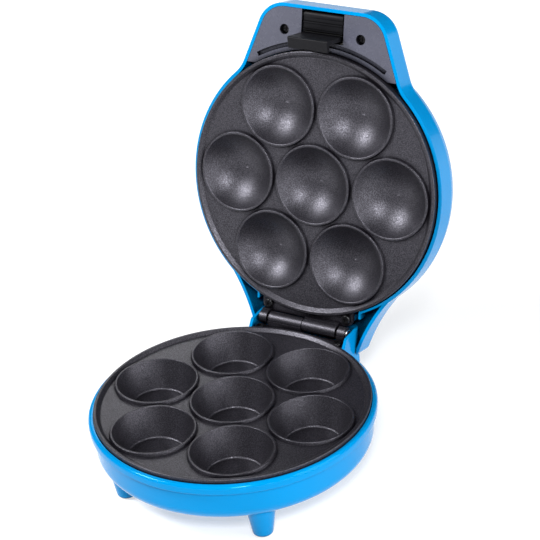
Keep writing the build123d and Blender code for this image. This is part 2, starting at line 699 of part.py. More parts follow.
def base_housing():
    """Round shell with hinge block, screw bosses, stakes, vents and cord inlet."""
    shell = base_round() + hinge_block()
    shell += inlet_place(rod(INLET_R + INLET_BOSS_W, -BASE_WALL * 2, 0))
    shell -= base_hollow()
    shell -= hinge_block_room()
    for x, y in foot_places():
        shell -= rod(FOOT_PEG_R + PEG_CLEAR, -BASE_DEPTH, -BASE_FLOOR_TOP, x, y)
    for side in (-1, 1):
        x = side * EAR_SCREW_X
        shell += rod(BOSS_R, -BASE_FLOOR_TOP - BASE_WALL / 2, -EAR_BOTTOM, x, EAR_SCREW_Y)
        shell -= rod(PLATE_SCREW_R, -EAR_BOTTOM - PLATE_SCREW_LEN, -EAR_BOTTOM, x, EAR_SCREW_Y)
    for angle in POST_ANGLES:
        x, y = at(angle, POST_PITCH_R)
        shell += rod(POST_SCREW_R + POST_WALL, -BASE_FLOOR_TOP - BASE_WALL / 2, -POST_JOINT, x, y)
        shell -= rod(POST_SCREW_R + SCREW_HOLE_CLEAR, -BASE_DEPTH, -POST_JOINT, x, y)
        shell -= rod(POST_HEAD_R + POST_HEAD_CLEAR, -BASE_DEPTH, -POST_HEAD_Z, x, y)
    for i in range(VENT_COUNT):
        y = (i - (VENT_COUNT - 1) / 2) * VENT_PITCH
        shell -= Pos(0, y, -BASE_DEPTH) * extrude(SlotOverall(VENT_LEN, VENT_W), amount=BASE_WALL)
    sheet_z = -REFLECTOR_Z - REFLECTOR_T
    for post in stakes(-BASE_FLOOR_TOP - BASE_WALL / 2, sheet_z, -REFLECTOR_Z + STAKE_PROUD):
        shell += post
    return shell - inlet_place(rod(INLET_R, -BASE_WALL * 3, CUT_OVER))


def base_screws():
    """Three long screws that pull the lower plate down on the base posts."""
    screw = Rot(180, 0, 0) * pan_screw(POST_HEAD_R, POST_HEAD_T, POST_SCREW_R, POST_HEAD_Z - POST_SCREW_TOP)
    return [Pos(*at(a, POST_PITCH_R), -POST_HEAD_Z) * screw for a in POST_ANGLES]


def plate_screws(front):
    """Screws of a casting, drawn in its frame; the upper one also has two in front."""
    screw = pan_screw(SCREW_HEAD_R, SCREW_HEAD_T, PLATE_SCREW_R, PLATE_SCREW_LEN)
    places = [(side * EAR_SCREW_X, EAR_SCREW_Y, -EAR_TOP) for side in (-1, 1)]
    if front:
        places += [(side * FRONT_TAB_X, -FRONT_TAB_Y, -FRONT_TAB_DROP) for side in (-1, 1)]
    return [Pos(*place) * screw for place in places]


def cord_bush():
    """Rubber bush in the inlet hole, its bore left open."""
    depth = INLET_PROUD + BASE_WALL + BUSH_SLACK
    end = -depth - BUSH_RING_T
    body = rod(INLET_R, end, 0) + rod(INLET_R + BUSH_FLANGE_W, 0, BUSH_FLANGE_T)
    body += rod(INLET_R + BUSH_RING_W, end, -depth)
    return inlet_place(body - rod(BUSH_BORE_R, end, BUSH_FLANGE_T))


def hinge_pin():
    """Headed pin through all four knuckles, riveted at its end."""
    pin = cross_rod(PIN_R, -LUG_END - PIN_END, LUG_END + PIN_RIVET, HINGE_Y, HINGE_Z)
    return pin + cross_rod(PIN_HEAD_R, LUG_END, LUG_END + PIN_HEAD_T, HINGE_Y, HINGE_Z)


def thermostat():
    y = PLATE_R - THERMOSTAT_INSET
    low = -PLATE_BOTTOM - THERMOSTAT_H
    body = rod(THERMOSTAT_R, low, -PLATE_BOTTOM, 0, y)
    for side in (-1, 1):
        blade = Pos(side * THERMOSTAT_R / 2, y, low - BLADE_LEN / 2) * Box(BLADE_W, BLADE_T, BLADE_LEN)
        body += blade
    return body


def thermal_fuse():
    x, y = at(FUSE_ANGLE, PLATE_R - FUSE_INSET)
    z = -PLATE_BOTTOM - FUSE_R
    body = cross_rod(FUSE_R, -FUSE_LEN / 2, FUSE_LEN / 2, 0, z)
    reach = FUSE_LEN / 2 + FUSE_LEAD_LEN / 2
    body += cross_rod(FUSE_LEAD_R, -reach, reach, 0, z)
    return Pos(x, y, 0) * Rot(0, 0, FUSE_ANGLE + 90) * body


def terminal_block():
    w, d, h = TERMINAL_W, TERMINAL_D, TERMINAL_H
    y = HINGE_Y + TERMINAL_REACH
    top = -BASE_FLOOR_TOP + h
    body = block(-w / 2, w / 2, y - d / 2, y + d / 2, -BASE_FLOOR_TOP, top)
    for i in (-1, 0, 1):
        x = i * w / 3
        body -= rod(TERMINAL_SCREW_R, top - TERMINAL_SCREW_DEPTH, top, x, y)
        body -= Pos(x, y, top - h * 0.6) * Rot(90, 0, 0) * Cylinder(TERMINAL_WIRE_R, d)
    return body


# Lid, drawn closed

def lid_outline():
    """Plan of the lid: round, with the handle in front and the hinge skirt behind."""
    front = (0, -HANDLE_FRONT_Y)
    corner = (HANDLE_CORNER_X, -HANDLE_FRONT_Y)
    root = (HANDLE_ROOT_X, -sqrt(LID_R ** 2 - HANDLE_ROOT_X ** 2))
    skirt_root = (SKIRT_ROOT_X, sqrt(LID_R ** 2 - SKIRT_ROOT_X ** 2))
    skirt_end = (SKIRT_END_X, SKIRT_END_Y)
    rear_corner = (SKIRT_END_X - SKIRT_TAPER, LID_REAR_Y)
    half = [
        Line(front, corner), Line(corner, root), ThreePointArc(root, (LID_R, 0), skirt_root),
        ThreePointArc(skirt_root, (SKIRT_MID_X, SKIRT_MID_Y), skirt_end), Line(skirt_end, rear_corner),
        Line(rear_corner, (0, LID_REAR_Y)),
    ]
    face = make_face(half + [mirror(edge, Plane.YZ) for edge in half])
    rounds = ((corner, HANDLE_CORNER_R), (root, HANDLE_BLEND_R), (skirt_root, SKIRT_BLEND_R),
              (rear_corner, SKIRT_CORNER_R))
    for (x, y), radius in rounds:
        near = face.vertices().filter_by(lambda v: abs(abs(v.X) - x) < 0.1 and abs(v.Y - y) < 0.1)
        face = fillet(near, radius)
    return face


def lid_form(inset):
    """Round dome on the lid's outline; set in by the wall it is the hollow."""
    plan = offset(lid_outline(), -inset) if inset else lid_outline()
    low = LID_RIM - inset
    shoulder = Pos(0, 0, low) * extrude(plan, amount=SHOULDER_TOP - inset - low)
    shoulder = fillet(shoulder.edges().group_by(Axis.Z)[-1], SHOULDER_ROUND - inset)
    dome = rod(LID_DOME_R - inset, SHOULDER_TOP / 2, LID_TOP - inset)
    return shoulder + fillet(dome.edges().group_by(Axis.Z)[-1], LID_TOP_ROUND - inset)


def lid_inner_walls():
    """Round wall that carries on behind the plate on both sides of the hinge, with a rib at its end."""
    top = LID_RIM + INNER_WALL_H
    ring = rod(LID_BORE_R + INNER_WALL_T, LID_RIM, top) - rod(LID_BORE_R, LID_RIM, top)
    inner = NOTCH_HALF_W + PEG_CLEAR
    rib_y = sqrt(LID_BORE_R ** 2 - (inner + INNER_WALL_T) ** 2)
    walls = []
    for side in (-1, 1):
        low, high = sorted((side * inner, side * SKIRT_ROOT_X))
        walls.append(ring & block(low, high, 0, LID_BORE_R, LID_RIM, top))
        low, high = sorted((side * inner, side * (inner + INNER_WALL_T)))
        walls.append(block(low, high, rib_y, rib_y + RIB_LEN, LID_RIM, top))
    return walls


def lid_housing():
    """Lid shell with its inner walls, hinge notch, screw bosses and lamp holes."""
    shell = lid_form(0) - lid_form(LID_WALL)
    for wall in lid_inner_walls():
        shell += wall
    shell -= block(-NOTCH_HALF_W, NOTCH_HALF_W, SKIRT_END_Y, LID_REAR_Y, LID_RIM, NOTCH_TOP)
    sheet_z = PLATE_GAP + UPPER_REFLECTOR_Z
    for post in stakes(LID_CEILING + LID_WALL / 2, sheet_z + REFLECTOR_T, sheet_z - STAKE_PROUD):
        shell += post
    ear_z = PLATE_GAP + EAR_BOTTOM
    tab_z = PLATE_GAP + FRONT_TAB_LOW
    for side in (-1, 1):
        for x, y, z, hole_r, depth in (
                (EAR_SCREW_X, EAR_SCREW_Y, ear_z, PLATE_SCREW_R, PLATE_SCREW_LEN),
                (FRONT_TAB_X, -FRONT_TAB_Y, tab_z, PLATE_SCREW_R, PLATE_SCREW_LEN),
                (COVER_SCREW_X, -COVER_SCREW_Y, COVER_CUP_TOP, COVER_SCREW_R, COVER_SCREW_LEN)):
            shell += rod(BOSS_R, z, BOSS_TOP, side * x, y)
            shell -= rod(hole_r, z, z + depth, side * x, y)
        shell -= rod(LENS_R, SHOULDER_CEILING, SHOULDER_TOP, side * LAMP_X, -LAMP_Y)
    return shell


def cover_plan():
    """Outline of the handle cover, open at the latch."""
    plan = offset(lid_outline(), -LID_WALL - COVER_GAP)
    plan &= Pos(0, COVER_LENGTH / 2 - HANDLE_FRONT_Y) * Rectangle(2 * HANDLE_FRONT_Y, COVER_LENGTH)
    plan -= Circle(COVER_INNER_R)
    depth = HANDLE_FRONT_Y - LATCH_NOTCH_Y
    return plan - Pos(0, -LATCH_NOTCH_Y - depth / 2) * Rectangle(2 * LATCH_NOTCH_HALF_W, depth)


def cover_groove():
    """Curved groove along the plate's edge."""
    high = LID_RIM + GROOVE_DEPTH
    ring = rod(GROOVE_R + GROOVE_W / 2, LID_RIM, high) - rod(GROOVE_R - GROOVE_W / 2, LID_RIM, high)
    reach = 2 * GROOVE_R
    ends = [at(-90 + side * GROOVE_HALF_ANGLE, reach) for side in (-1, 1)]
    wedge = make_face(Polyline((0, 0), *ends, close=True))
    return ring & (Pos(0, 0, LID_RIM) * extrude(wedge, amount=GROOVE_DEPTH))


def handle_cover():
    """Cover below the handle with its groove, two screw cups and the cheeks that hold the latch pin."""
    cover = Pos(0, 0, LID_RIM) * extrude(cover_plan(), amount=COVER_T)
    cover -= cover_groove()
    for side in (-1, 1):
        x = side * COVER_SCREW_X
        cover += rod(COVER_CUP_R + COVER_CUP_WALL, LID_RIM, COVER_CUP_TOP, x, -COVER_SCREW_Y)
        cover -= rod(COVER_CUP_R, LID_RIM, LID_RIM + COVER_CUP_DEPTH, x, -COVER_SCREW_Y)
        cover -= rod(COVER_SCREW_R + SCREW_HOLE_CLEAR, LID_RIM, COVER_CUP_TOP, x, -COVER_SCREW_Y)
        low, high = sorted((side * LATCH_NOTCH_HALF_W, side * (LATCH_NOTCH_HALF_W + CHEEK_T)))
        cover += block(low, high, -LATCH_PIVOT_Y - LATCH_BAR_R, -LATCH_PIVOT_Y + LATCH_BAR_R,
                       LID_RIM, LATCH_PIVOT_Z + LATCH_BAR_R)
    return cover - cross_rod(LATCH_PIN_R, -PLATE_R, PLATE_R, -LATCH_PIVOT_Y, LATCH_PIVOT_Z)


def cover_screws():
    length = COVER_SCREW_LEN + COVER_CUP_WALL - COVER_SCREW_SPARE
    screw = Rot(180, 0, 0) * pan_screw(COVER_HEAD_R, COVER_HEAD_T, COVER_SCREW_R, length)
    seat = LID_RIM + COVER_CUP_DEPTH
    return [Pos(side * COVER_SCREW_X, -COVER_SCREW_Y, seat) * screw for side in (-1, 1)]


def latch_side():
    """Side outline of the latch's plate, arm and hook, as (y, z) points."""
    plate_low = LATCH_PIVOT_Z - LATCH_BAR_R + LATCH_PLATE_LIFT
    plate_high = plate_low + LATCH_T
    tip_y = BASE_LIP_R
    inner_y = LATCH_ARM_Y - LATCH_T
    hook_low = HOOK_TOP + HOOK_T
    return [
        (-LATCH_PIVOT_Y, plate_low), (-LATCH_ARM_Y, plate_low), (-LATCH_ARM_Y, -hook_low - HOOK_SLOPE),
        (-tip_y, -hook_low), (-tip_y, -HOOK_TOP), (-inner_y, -HOOK_TOP), (-inner_y, plate_high),
        (-LATCH_PIVOT_Y, plate_high),
    ]


def latch():
    """Sprung clip: pivot bar, plate, hanging arm and a hook that turns in under the base lip."""
    half = LATCH_HALF_W
    body = yz_prism(latch_side(), -half, half)
    outer = body.edges().filter_by(Axis.X).filter_by(
        lambda e: abs(e.center().Y + LATCH_ARM_Y) < 0.1)
    body = fillet(outer, LATCH_ARM_ROUND)
    body -= rod(BASE_LIP_R + HOOK_SIDE_GAP, -HOOK_TOP - HOOK_T - HOOK_SLOPE, 0)
    body += cross_rod(LATCH_BAR_R, -half, half, -LATCH_PIVOT_Y, LATCH_PIVOT_Z)
    high = LATCH_PIVOT_Z - LATCH_BAR_R + LATCH_PLATE_LIFT
    for y in (LATCH_ARM_Y + LATCH_RIB_SETBACK, LATCH_PIVOT_Y - LATCH_BAR_R - LATCH_RIB_W):
        body += block(-half, half, -y - LATCH_RIB_W / 2, -y + LATCH_RIB_W / 2, high - LATCH_RIB_H, high)
    slot = SPRING_TURNS * SPRING_PITCH / 2 + SPRING_SLOT_GAP + SPRING_WIRE_R
    coil_room = SPRING_COIL_R + SPRING_WIRE_R + SPRING_AIR
    body -= cross_rod(coil_room, -slot, slot, -LATCH_PIVOT_Y, LATCH_PIVOT_Z)
    body -= block(-slot, slot, -LATCH_PIVOT_Y - LATCH_BAR_R, -LATCH_PIVOT_Y + LATCH_BAR_R,
                  LATCH_PIVOT_Z, LATCH_PIVOT_Z + LATCH_BAR_R)
    return body - cross_rod(LATCH_PIN_R + RUN_CLEAR, -half, half, -LATCH_PIVOT_Y, LATCH_PIVOT_Z)


def latch_pin():
    end = LATCH_NOTCH_HALF_W + CHEEK_T
    return cross_rod(LATCH_PIN_R, -end, end, -LATCH_PIVOT_Y, LATCH_PIVOT_Z)


def latch_spring():
    """Torsion spring on the latch pin, one unbroken wire."""
    length = SPRING_TURNS * SPRING_PITCH
    helix = Helix(SPRING_PITCH, length, SPRING_COIL_R)
    wire = Plane(origin=helix @ 0, z_dir=helix % 0) * Circle(SPRING_WIRE_R)
    coil = sweep(wire, path=helix, is_frenet=True)
    return Pos(-length / 2, -LATCH_PIVOT_Y, LATCH_PIVOT_Z) * Rot(0, 90, 0) * coil


def lamp_lens(side):
    head = rod(LENS_R + LENS_FLANGE_W, SHOULDER_TOP, SHOULDER_TOP + LENS_PROUD)
    head = fillet(head.edges().group_by(Axis.Z)[-1], LENS_PROUD * 0.7)
    low = SHOULDER_CEILING - LENS_DEPTH
    lens = head + rod(LENS_R, low, SHOULDER_TOP) - rod(LENS_R - LENS_WALL, low, SHOULDER_TOP)
    return Pos(side * LAMP_X, -LAMP_Y, 0) * lens


def lamp_holder():
    """Small bridge hung from the handle's top that carries both lamps."""
    inner = LAMP_X + LENS_R + HOLDER_SIDE_GAP
    outer = inner + HOLDER_T
    depth = HOLDER_D / 2
    bridge = block(-outer, outer, -LAMP_Y - depth, -LAMP_Y + depth, LAMP_FOOT_Z - HOLDER_T, LAMP_FOOT_Z)
    for side in (-1, 1):
        low, high = sorted((side * inner, side * outer))
        leg = depth / 2
        bridge += block(low, high, -LAMP_Y - leg, -LAMP_Y + leg, LAMP_FOOT_Z, SHOULDER_CEILING)
    return bridge


def neon_lamps():
    lamps = []
    for side in (-1, 1):
        lamp = rod(LAMP_BODY_R, LAMP_FOOT_Z, LAMP_FOOT_Z + LAMP_BODY_LEN, side * LAMP_X, -LAMP_Y)
        lamps.append(fillet(lamp.edges().group_by(Axis.Z)[-1], LAMP_BODY_R * 0.8))
    return lamps


def build():
    """All nodes in closed position: name, body and solids."""
    return {
        "base_housing": ("base", [base_housing()]),
        "feet": ("base", feet()),
        "foot_pads": ("base", foot_pads()),
        "lower_cook_plate": ("base", [lower_plate()]),
        "lower_plate_screws": ("base", plate_screws(False)),
        "base_screws": ("base", base_screws()),
        "cord_bush": ("base", [cord_bush()]),
        "hinge_pin": ("base", [hinge_pin()]),
        "lower_heating_element": ("base", [heating_element()]),
        "lower_element_clips": ("base", element_clips()),
        "lower_clip_screws": ("base", clip_screws()),
        "lower_heat_reflector": ("base", [reflector(REFLECTOR_Z, POST_SCREW_R + POST_WALL)]),
        "thermostat": ("base", [thermostat()]),
        "thermal_fuse": ("base", [thermal_fuse()]),
        "terminal_block": ("base", [terminal_block()]),
        "lid_housing": ("lid", [lid_housing()]),
        "upper_cook_plate": ("lid", [flipped(upper_plate())]),
        "upper_plate_screws": ("lid", [flipped(s) for s in plate_screws(True)]),
        "upper_heating_element": ("lid", [flipped(heating_element())]),
        "upper_element_clips": ("lid", [flipped(s) for s in element_clips()]),
        "upper_clip_screws": ("lid", [flipped(s) for s in clip_screws()]),
        "upper_heat_reflector": ("lid", [flipped(reflector(UPPER_REFLECTOR_Z, 0))]),
        "handle_cover": ("lid", [handle_cover()]),
        "handle_cover_screws": ("lid", cover_screws()),
        "latch_pin": ("lid", [latch_pin()]),
        "latch_spring": ("lid", [latch_spring()]),
        "power_lamp_lens": ("lid", [lamp_lens(-1)]),
        "ready_lamp_lens": ("lid", [lamp_lens(1)]),
        "neon_lamps": ("lid", neon_lamps()),
        "lamp_holder": ("lid", [lamp_holder()]),
        "latch": ("latch", [latch()]),
    }


def swung(part):
    """Turns a lid piece about the hinge pin to the open position."""
    return part.rotate(Axis((0, HINGE_Y, HINGE_Z), (1, 0, 0)), -OPEN_ANGLE)


def main():
    os.makedirs("parts", exist_ok=True)
    placed = {}
    for name, (body, solids) in build().items():
        placed[name] = solids if body == "base" else [swung(s) for s in solids]
    boxes = [s.bounding_box() for solids in placed.values() for s in solids]
    centre_y = (min(b.min.Y for b in boxes) + max(b.max.Y for b in boxes)) / 2
    print("floor at z", FLOOR_Z, "middle at y", round(centre_y, 4))
    for name, solids in placed.items():
        moved = [Pos(0, -centre_y, -FLOOR_Z) * s for s in solids]
        whole = moved[0] if len(moved) == 1 else Compound(children=moved)
        export_step(whole, f"parts/{name}.step")


main()
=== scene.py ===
"""Looks for the mini cake maker: finishes for its solids, a pale studio and the photo's camera."""

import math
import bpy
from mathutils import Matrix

bl_info = {
    "name": "Mini cake maker looks",
    "version": (1, 0, 0),
    "blender": (4, 5, 0),
    "location": "3D View > Sidebar > Cake maker",
    "description": "Finishes a hinged mini cake maker and sets up its studio",
    "category": "Object",
}

import bmesh
import bpy
from mathutils import Matrix, Vector

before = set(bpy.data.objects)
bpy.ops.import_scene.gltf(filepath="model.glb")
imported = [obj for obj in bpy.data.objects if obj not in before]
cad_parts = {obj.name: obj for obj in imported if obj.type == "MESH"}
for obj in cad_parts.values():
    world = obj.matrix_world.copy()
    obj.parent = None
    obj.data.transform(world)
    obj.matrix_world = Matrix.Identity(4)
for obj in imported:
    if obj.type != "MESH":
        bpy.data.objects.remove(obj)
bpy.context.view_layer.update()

# Lengths are in metres, lamp powers in watts and colours in linear light.

# Most of a noise texture lies between these two.
NOISE_LOW = 0.3
NOISE_HIGH = 0.7
# Rays that measure how open a surface lies.
OPENNESS_SAMPLES = 8
# A Mix node has several sockets of one name, so its colour sockets are found by place.
MIX_FIRST = 6
MIX_SECOND = 7
MIX_RESULT = 2

# How the marks of a metal are drawn out: less than 1 lengthens them along that axis.
DRAWN_ALONG_X = (0.2, 1, 1)
ROLLED_ALONG_X = (0.15, 1, 1)

BLACKENED_STEEL = (0.035, 0.035, 0.038)
DRAWN_STEEL = (0.52, 0.52, 0.53)
DULLED_STEEL = (0.16, 0.16, 0.165)
HEAT_TINTED_STEEL = (0.3, 0.27, 0.24)
BRIGHT_METAL = (0.74, 0.74, 0.75)
BLACK_RUBBER = (0.02, 0.02, 0.022)
PALE_CERAMIC = (0.72, 0.69, 0.62)
CLEAR_RED = (0.65, 0.02, 0.01)
CLEAR_GREEN = (0.02, 0.5, 0.08)
WARM_GLASS = (0.85, 0.7, 0.55)

FLOOR_REACH = 60.0
SKY_STRENGTH = 0.03
# The floor's glow rises with the distance from the part's middle.
GLOW_START = 0.35
GLOW_END = 1.1
NEAR_GLOW = 0.62
FAR_GLOW = 1.2

SENSOR_WIDTH_MM = 36.0
VIEW_REACH = 200.0

PART_MIDDLE = (0.0, 0.0, 0.1)
FRONT_OF_LID = (0.0, 0.05, 0.2)
# Each softbox has its place, the point it is aimed at, its two sides and its power.
SOFTBOXES = {
    "softbox_camera": ((0.62, -1.0, 1.08), PART_MIDDLE, (0.26, 0.26), 20.0),
    "softbox_left": ((-0.85, -0.66, 1.18), PART_MIDDLE, (0.5, 0.5), 28.0),
    "softbox_right": ((1.3, 0.1, 0.75), PART_MIDDLE, (0.9, 1.2), 17.0),
    "softbox_edge": ((1.25, -0.75, 0.3), PART_MIDDLE, (0.5, 0.4), 4.0),
    "softbox_low": ((-0.75, -0.9, 0.5), FRONT_OF_LID, (0.4, 0.4), 0.3),
    "softbox_back": ((-0.95, 1.15, 0.75), PART_MIDDLE, (0.6, 0.6), 4.0),
}


def shade(colour, factor):
    """The same colour, lighter or darker."""
    return tuple(max(0.0, min(1.0, channel * factor)) for channel in colour)


class MaterialSheet:
    """Builds one node material, with its pattern on Object coordinates."""

    def __init__(self, name):
        self.material = bpy.data.materials.new(name)
        self.material.use_nodes = True
        self.tree = self.material.node_tree
        self.shader = self.tree.nodes["Principled BSDF"]
        self.place = self.tree.nodes.new("ShaderNodeTexCoord").outputs["Object"]

    def node(self, kind, **values):
        """A new node with some of its settings."""
        made = self.tree.nodes.new(kind)
        for key, value in values.items():
            setattr(made, key, value)
        return made

    def link(self, source, target):
        self.tree.links.new(source, target)

    def noise(self, scale, detail=2.0, roughness=0.5, stretch=None):
        """Soft random pattern, finer with a larger scale."""
        made = self.node("ShaderNodeTexNoise")
        made.inputs["Scale"].default_value = scale
        made.inputs["Detail"].default_value = detail
        made.inputs["Roughness"].default_value = roughness
        self.link(self.stretched(stretch) if stretch else self.place, made.inputs["Vector"])
        return made.outputs["Fac"]

    def stretched(self, factors):
        """The place on the object, scaled along each axis."""
        made = self.node("ShaderNodeMapping")
        made.inputs["Scale"].default_value = factors
        self.link(self.place, made.inputs["Vector"])
        return made.outputs["Vector"]

    def openness(self, distance):
        """How open the surface lies: 0 deep in a gap or groove, 1 out in the open. The materials paint
        shade with it.
        """
        made = self.node("ShaderNodeAmbientOcclusion", samples=OPENNESS_SAMPLES)
        made.inputs["Distance"].default_value = distance
        return made.outputs["AO"]

    def distance(self):
        """Distance from the object's origin."""
        made = self.node("ShaderNodeVectorMath", operation="LENGTH")
        self.link(self.place, made.inputs["Vector"])
        return made.outputs["Value"]

    def product(self, first, second):
        """One value times another."""
        made = self.node("ShaderNodeMath", operation="MULTIPLY")
        for value, socket in zip((first, second), made.inputs):
            self.link(value, socket)
        return made.outputs["Value"]

    def span(self, source, low, high, from_low=NOISE_LOW, from_high=NOISE_HIGH):
        """Spreads a value over the range from low to high."""
        made = self.node("ShaderNodeMapRange")
        made.inputs["From Min"].default_value = from_low
        made.inputs["From Max"].default_value = from_high
        made.inputs["To Min"].default_value = low
        made.inputs["To Max"].default_value = high
        self.link(source, made.inputs["Value"])
        return made.outputs["Result"]

    def tones(self, source, colour, darker, lighter):
        """Colour that wanders between two shades of the given one."""
        made = self.node("ShaderNodeValToRGB")
        low_end, high_end = made.color_ramp.elements
        low_end.position = NOISE_LOW
        low_end.color = (*shade(colour, darker), 1)
        high_end.position = NOISE_HIGH
        high_end.color = (*shade(colour, lighter), 1)
        self.link(source, made.inputs["Fac"])
        return made.outputs["Color"]

    def mix(self, factor, first, second):
        """The first colour where the factor is 0, the second where it is 1."""
        made = self.node("ShaderNodeMix", data_type="RGBA")
        self.link(factor, made.inputs["Factor"])
        self.link(first, made.inputs[MIX_FIRST])
        self.link(second, made.inputs[MIX_SECOND])
        return made.outputs[MIX_RESULT]

    def bump(self, source, strength, distance):
        """Fine relief of the surface."""
        made = self.node("ShaderNodeBump")
        made.inputs["Strength"].default_value = strength
        made.inputs["Distance"].default_value = distance
        self.link(source, made.inputs["Height"])
        self.link(made.outputs["Normal"], self.shader.inputs["Normal"])

    def feed(self, **sources):
        """Links patterns to sockets of the shader."""
        for name, source in sources.items():
            self.link(source, self.shader.inputs[name.replace("_", " ")])

    def set(self, **values):
        """Sets sockets of the shader to values that are the same all over."""
        for name, value in values.items():
            self.shader.inputs[name.replace("_", " ")].default_value = value


def glossy_shell(colour):
    """Moulded plastic with a high gloss and a faint orange peel, with shade painted nearly black inside
    narrow gaps.
    """
    sheet = MaterialSheet("glossy_blue_plastic")
    cloud = sheet.noise(scale=14.0)
    # Painted shade: deep in a gap the colour falls to a few hundredths of the shell's colour.
    painted_gap_shade = sheet.tones(cloud, colour, darker=0.03, lighter=0.04)
    in_light = sheet.tones(cloud, colour, darker=0.94, lighter=1.05)
    painted_shade_mask = sheet.span(sheet.openness(distance=0.03), low=0.0, high=1.0, from_low=0.15, from_high=0.5)
    sheet.feed(
        Base_Color=sheet.mix(painted_shade_mask, painted_gap_shade, in_light),
        Roughness=sheet.span(sheet.noise(scale=55.0), low=0.11, high=0.16))
    sheet.bump(sheet.noise(scale=150.0, detail=1.0), strength=0.14, distance=0.0003)
    sheet.set(
        Coat_Weight=0.08, Coat_Roughness=0.04, IOR=1.45, Specular_IOR_Level=0.22,
        Specular_Tint=(0.02, 0.7, 1.0, 1.0))
    return sheet.material


def coated_casting(colour, fleck):
    """Cast metal under a dark non-stick coat with fine flecks that glint."""
    sheet = MaterialSheet("flecked_nonstick")
    grain = sheet.noise(scale=1500.0, detail=1.0, roughness=0.6)
    ground = sheet.tones(sheet.noise(scale=38.0, detail=3.0), colour, darker=0.86, lighter=1.14)
    pale = sheet.tones(sheet.noise(scale=60.0), fleck, darker=0.9, lighter=1.0)
    dots = sheet.span(grain, low=0.0, high=1.0, from_low=0.45, from_high=0.65)
    # Painted shade: the specular level falls to nothing in narrow creases, such as those round the lips.
    painted_shade_mask = sheet.span(sheet.openness(distance=0.004), low=0.0, high=1.0, from_low=0.5, from_high=0.93)
    sparkle = sheet.span(grain, low=0.32, high=0.74, from_low=0.4, from_high=0.66)
    # An export that drops the link to the specular level keeps the value set on the socket.
    sheet.set(IOR=1.7, Specular_IOR_Level=0.6, Specular_Tint=(0.88, 0.86, 1.0, 1.0))
    sheet.feed(
        Base_Color=sheet.mix(dots, ground, pale),
        Roughness=sheet.span(grain, low=0.48, high=0.4, from_low=0.35, from_high=0.65),
        Specular_IOR_Level=sheet.product(sparkle, painted_shade_mask))
    sheet.bump(grain, strength=0.4, distance=0.0002)
    return sheet.material


def satin_plastic(name, colour, rough_from, rough_to, gloss=0.5):
    """Finely spark-eroded plastic, between satin and matte, with shade painted dark and dull inside
    grooves.
    """
    sheet = MaterialSheet(name)
    cloud = sheet.noise(scale=30.0)
    # Painted shade: deep inside grooves the colour falls to a few hundredths and the specular level nearly
    # to nothing.
    painted_groove_shade = sheet.tones(cloud, colour, darker=0.05, lighter=0.07)
    in_light = sheet.tones(cloud, colour, darker=0.92, lighter=1.08)
    painted_shade_mask = sheet.span(sheet.openness(distance=0.006), low=0.0, high=1.0, from_low=0.5, from_high=0.95)
    # An export that drops the link to the specular level keeps the value set on the socket.
    sheet.set(Specular_IOR_Level=gloss)
    sheet.feed(
        Base_Color=sheet.mix(painted_shade_mask, painted_groove_shade, in_light),
        Roughness=sheet.span(sheet.noise(scale=240.0), rough_from, rough_to),
        Specular_IOR_Level=sheet.span(painted_shade_mask, low=0.02, high=gloss, from_low=0.0, from_high=1.0))
    sheet.bump(sheet.noise(scale=1600.0), strength=0.12, distance=0.0002)
    return sheet.material


def plain_metal(name, colour, rough_from, rough_to, stretch=None):
    """Bare metal with fine marks."""
    sheet = MaterialSheet(name)
    marks = sheet.noise(scale=300.0, detail=3.0, stretch=stretch)
    sheet.feed(
        Base_Color=sheet.tones(marks, colour, darker=0.85, lighter=1.1),
        Roughness=sheet.span(marks, rough_from, rough_to))
    sheet.bump(marks, strength=0.08, distance=0.0002)
    sheet.set(Metallic=1.0)
    return sheet.material


def soft_rubber(colour):
    """Matte moulded rubber."""
    sheet = MaterialSheet("moulded_rubber")
    sheet.feed(
        Base_Color=sheet.tones(sheet.noise(scale=80.0), colour, darker=0.85, lighter=1.2),
        Roughness=sheet.span(sheet.noise(scale=300.0), low=0.7, high=0.85))
    sheet.bump(sheet.noise(scale=900.0), strength=0.2, distance=0.0003)
    return sheet.material


def lamp_lens(name, colour):
    """Coloured see-through lens with a clouded inside."""
    sheet = MaterialSheet(name)
    sheet.feed(
        Base_Color=sheet.tones(sheet.noise(scale=200.0), colour, darker=0.85, lighter=1.0),
        Roughness=sheet.span(sheet.noise(scale=400.0), low=0.06, high=0.14))
    sheet.bump(sheet.noise(scale=500.0), strength=0.04, distance=0.0002)
    sheet.set(Transmission_Weight=0.5, IOR=1.49)
    return sheet.material


def floor_material(colour):
    """Pale sheet with a glow that is weaker round the part."""
    sheet = MaterialSheet("studio_floor")
    glow = sheet.span(
        sheet.distance(), low=NEAR_GLOW, high=FAR_GLOW, from_low=GLOW_START, from_high=GLOW_END)
    sheet.feed(
        Base_Color=sheet.tones(sheet.noise(scale=2.0), colour, darker=0.6, lighter=0.61),
        Roughness=sheet.span(sheet.noise(scale=30.0), low=0.75, high=0.85),
        Emission_Strength=glow)
    sheet.set(Specular_IOR_Level=0.2, Emission_Color=(*colour, 1.0))
    return sheet.material


def dress(material, *names):
    """Gives a finish to solids of the frame."""
    for name in names:
        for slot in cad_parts[name].material_slots:
            slot.material = material


def put_in_scene(name, data):
    """Adds a mesh, lamp or camera to the scene as a new object."""
    made = bpy.data.objects.new(name, data)
    bpy.context.scene.collection.objects.link(made)
    return made


def add_floor(colour):
    """Wide flat floor that reaches equally far each way."""
    mesh = bpy.data.meshes.new("studio_floor")
    shape = bmesh.new()
    bmesh.ops.create_grid(shape, x_segments=2, y_segments=2, size=FLOOR_REACH)
    shape.to_mesh(mesh)
    shape.free()
    mesh.materials.append(floor_material(colour))
    floor = put_in_scene("studio_floor", mesh)


def add_sky():
    """Weak white light from all sides."""
    world = bpy.data.worlds.new("studio_sky")
    world.use_nodes = True
    sky = world.node_tree.nodes["Background"]
    sky.inputs["Color"].default_value = (1, 1, 1, 1)
    sky.inputs["Strength"].default_value = SKY_STRENGTH
    bpy.context.scene.world = world


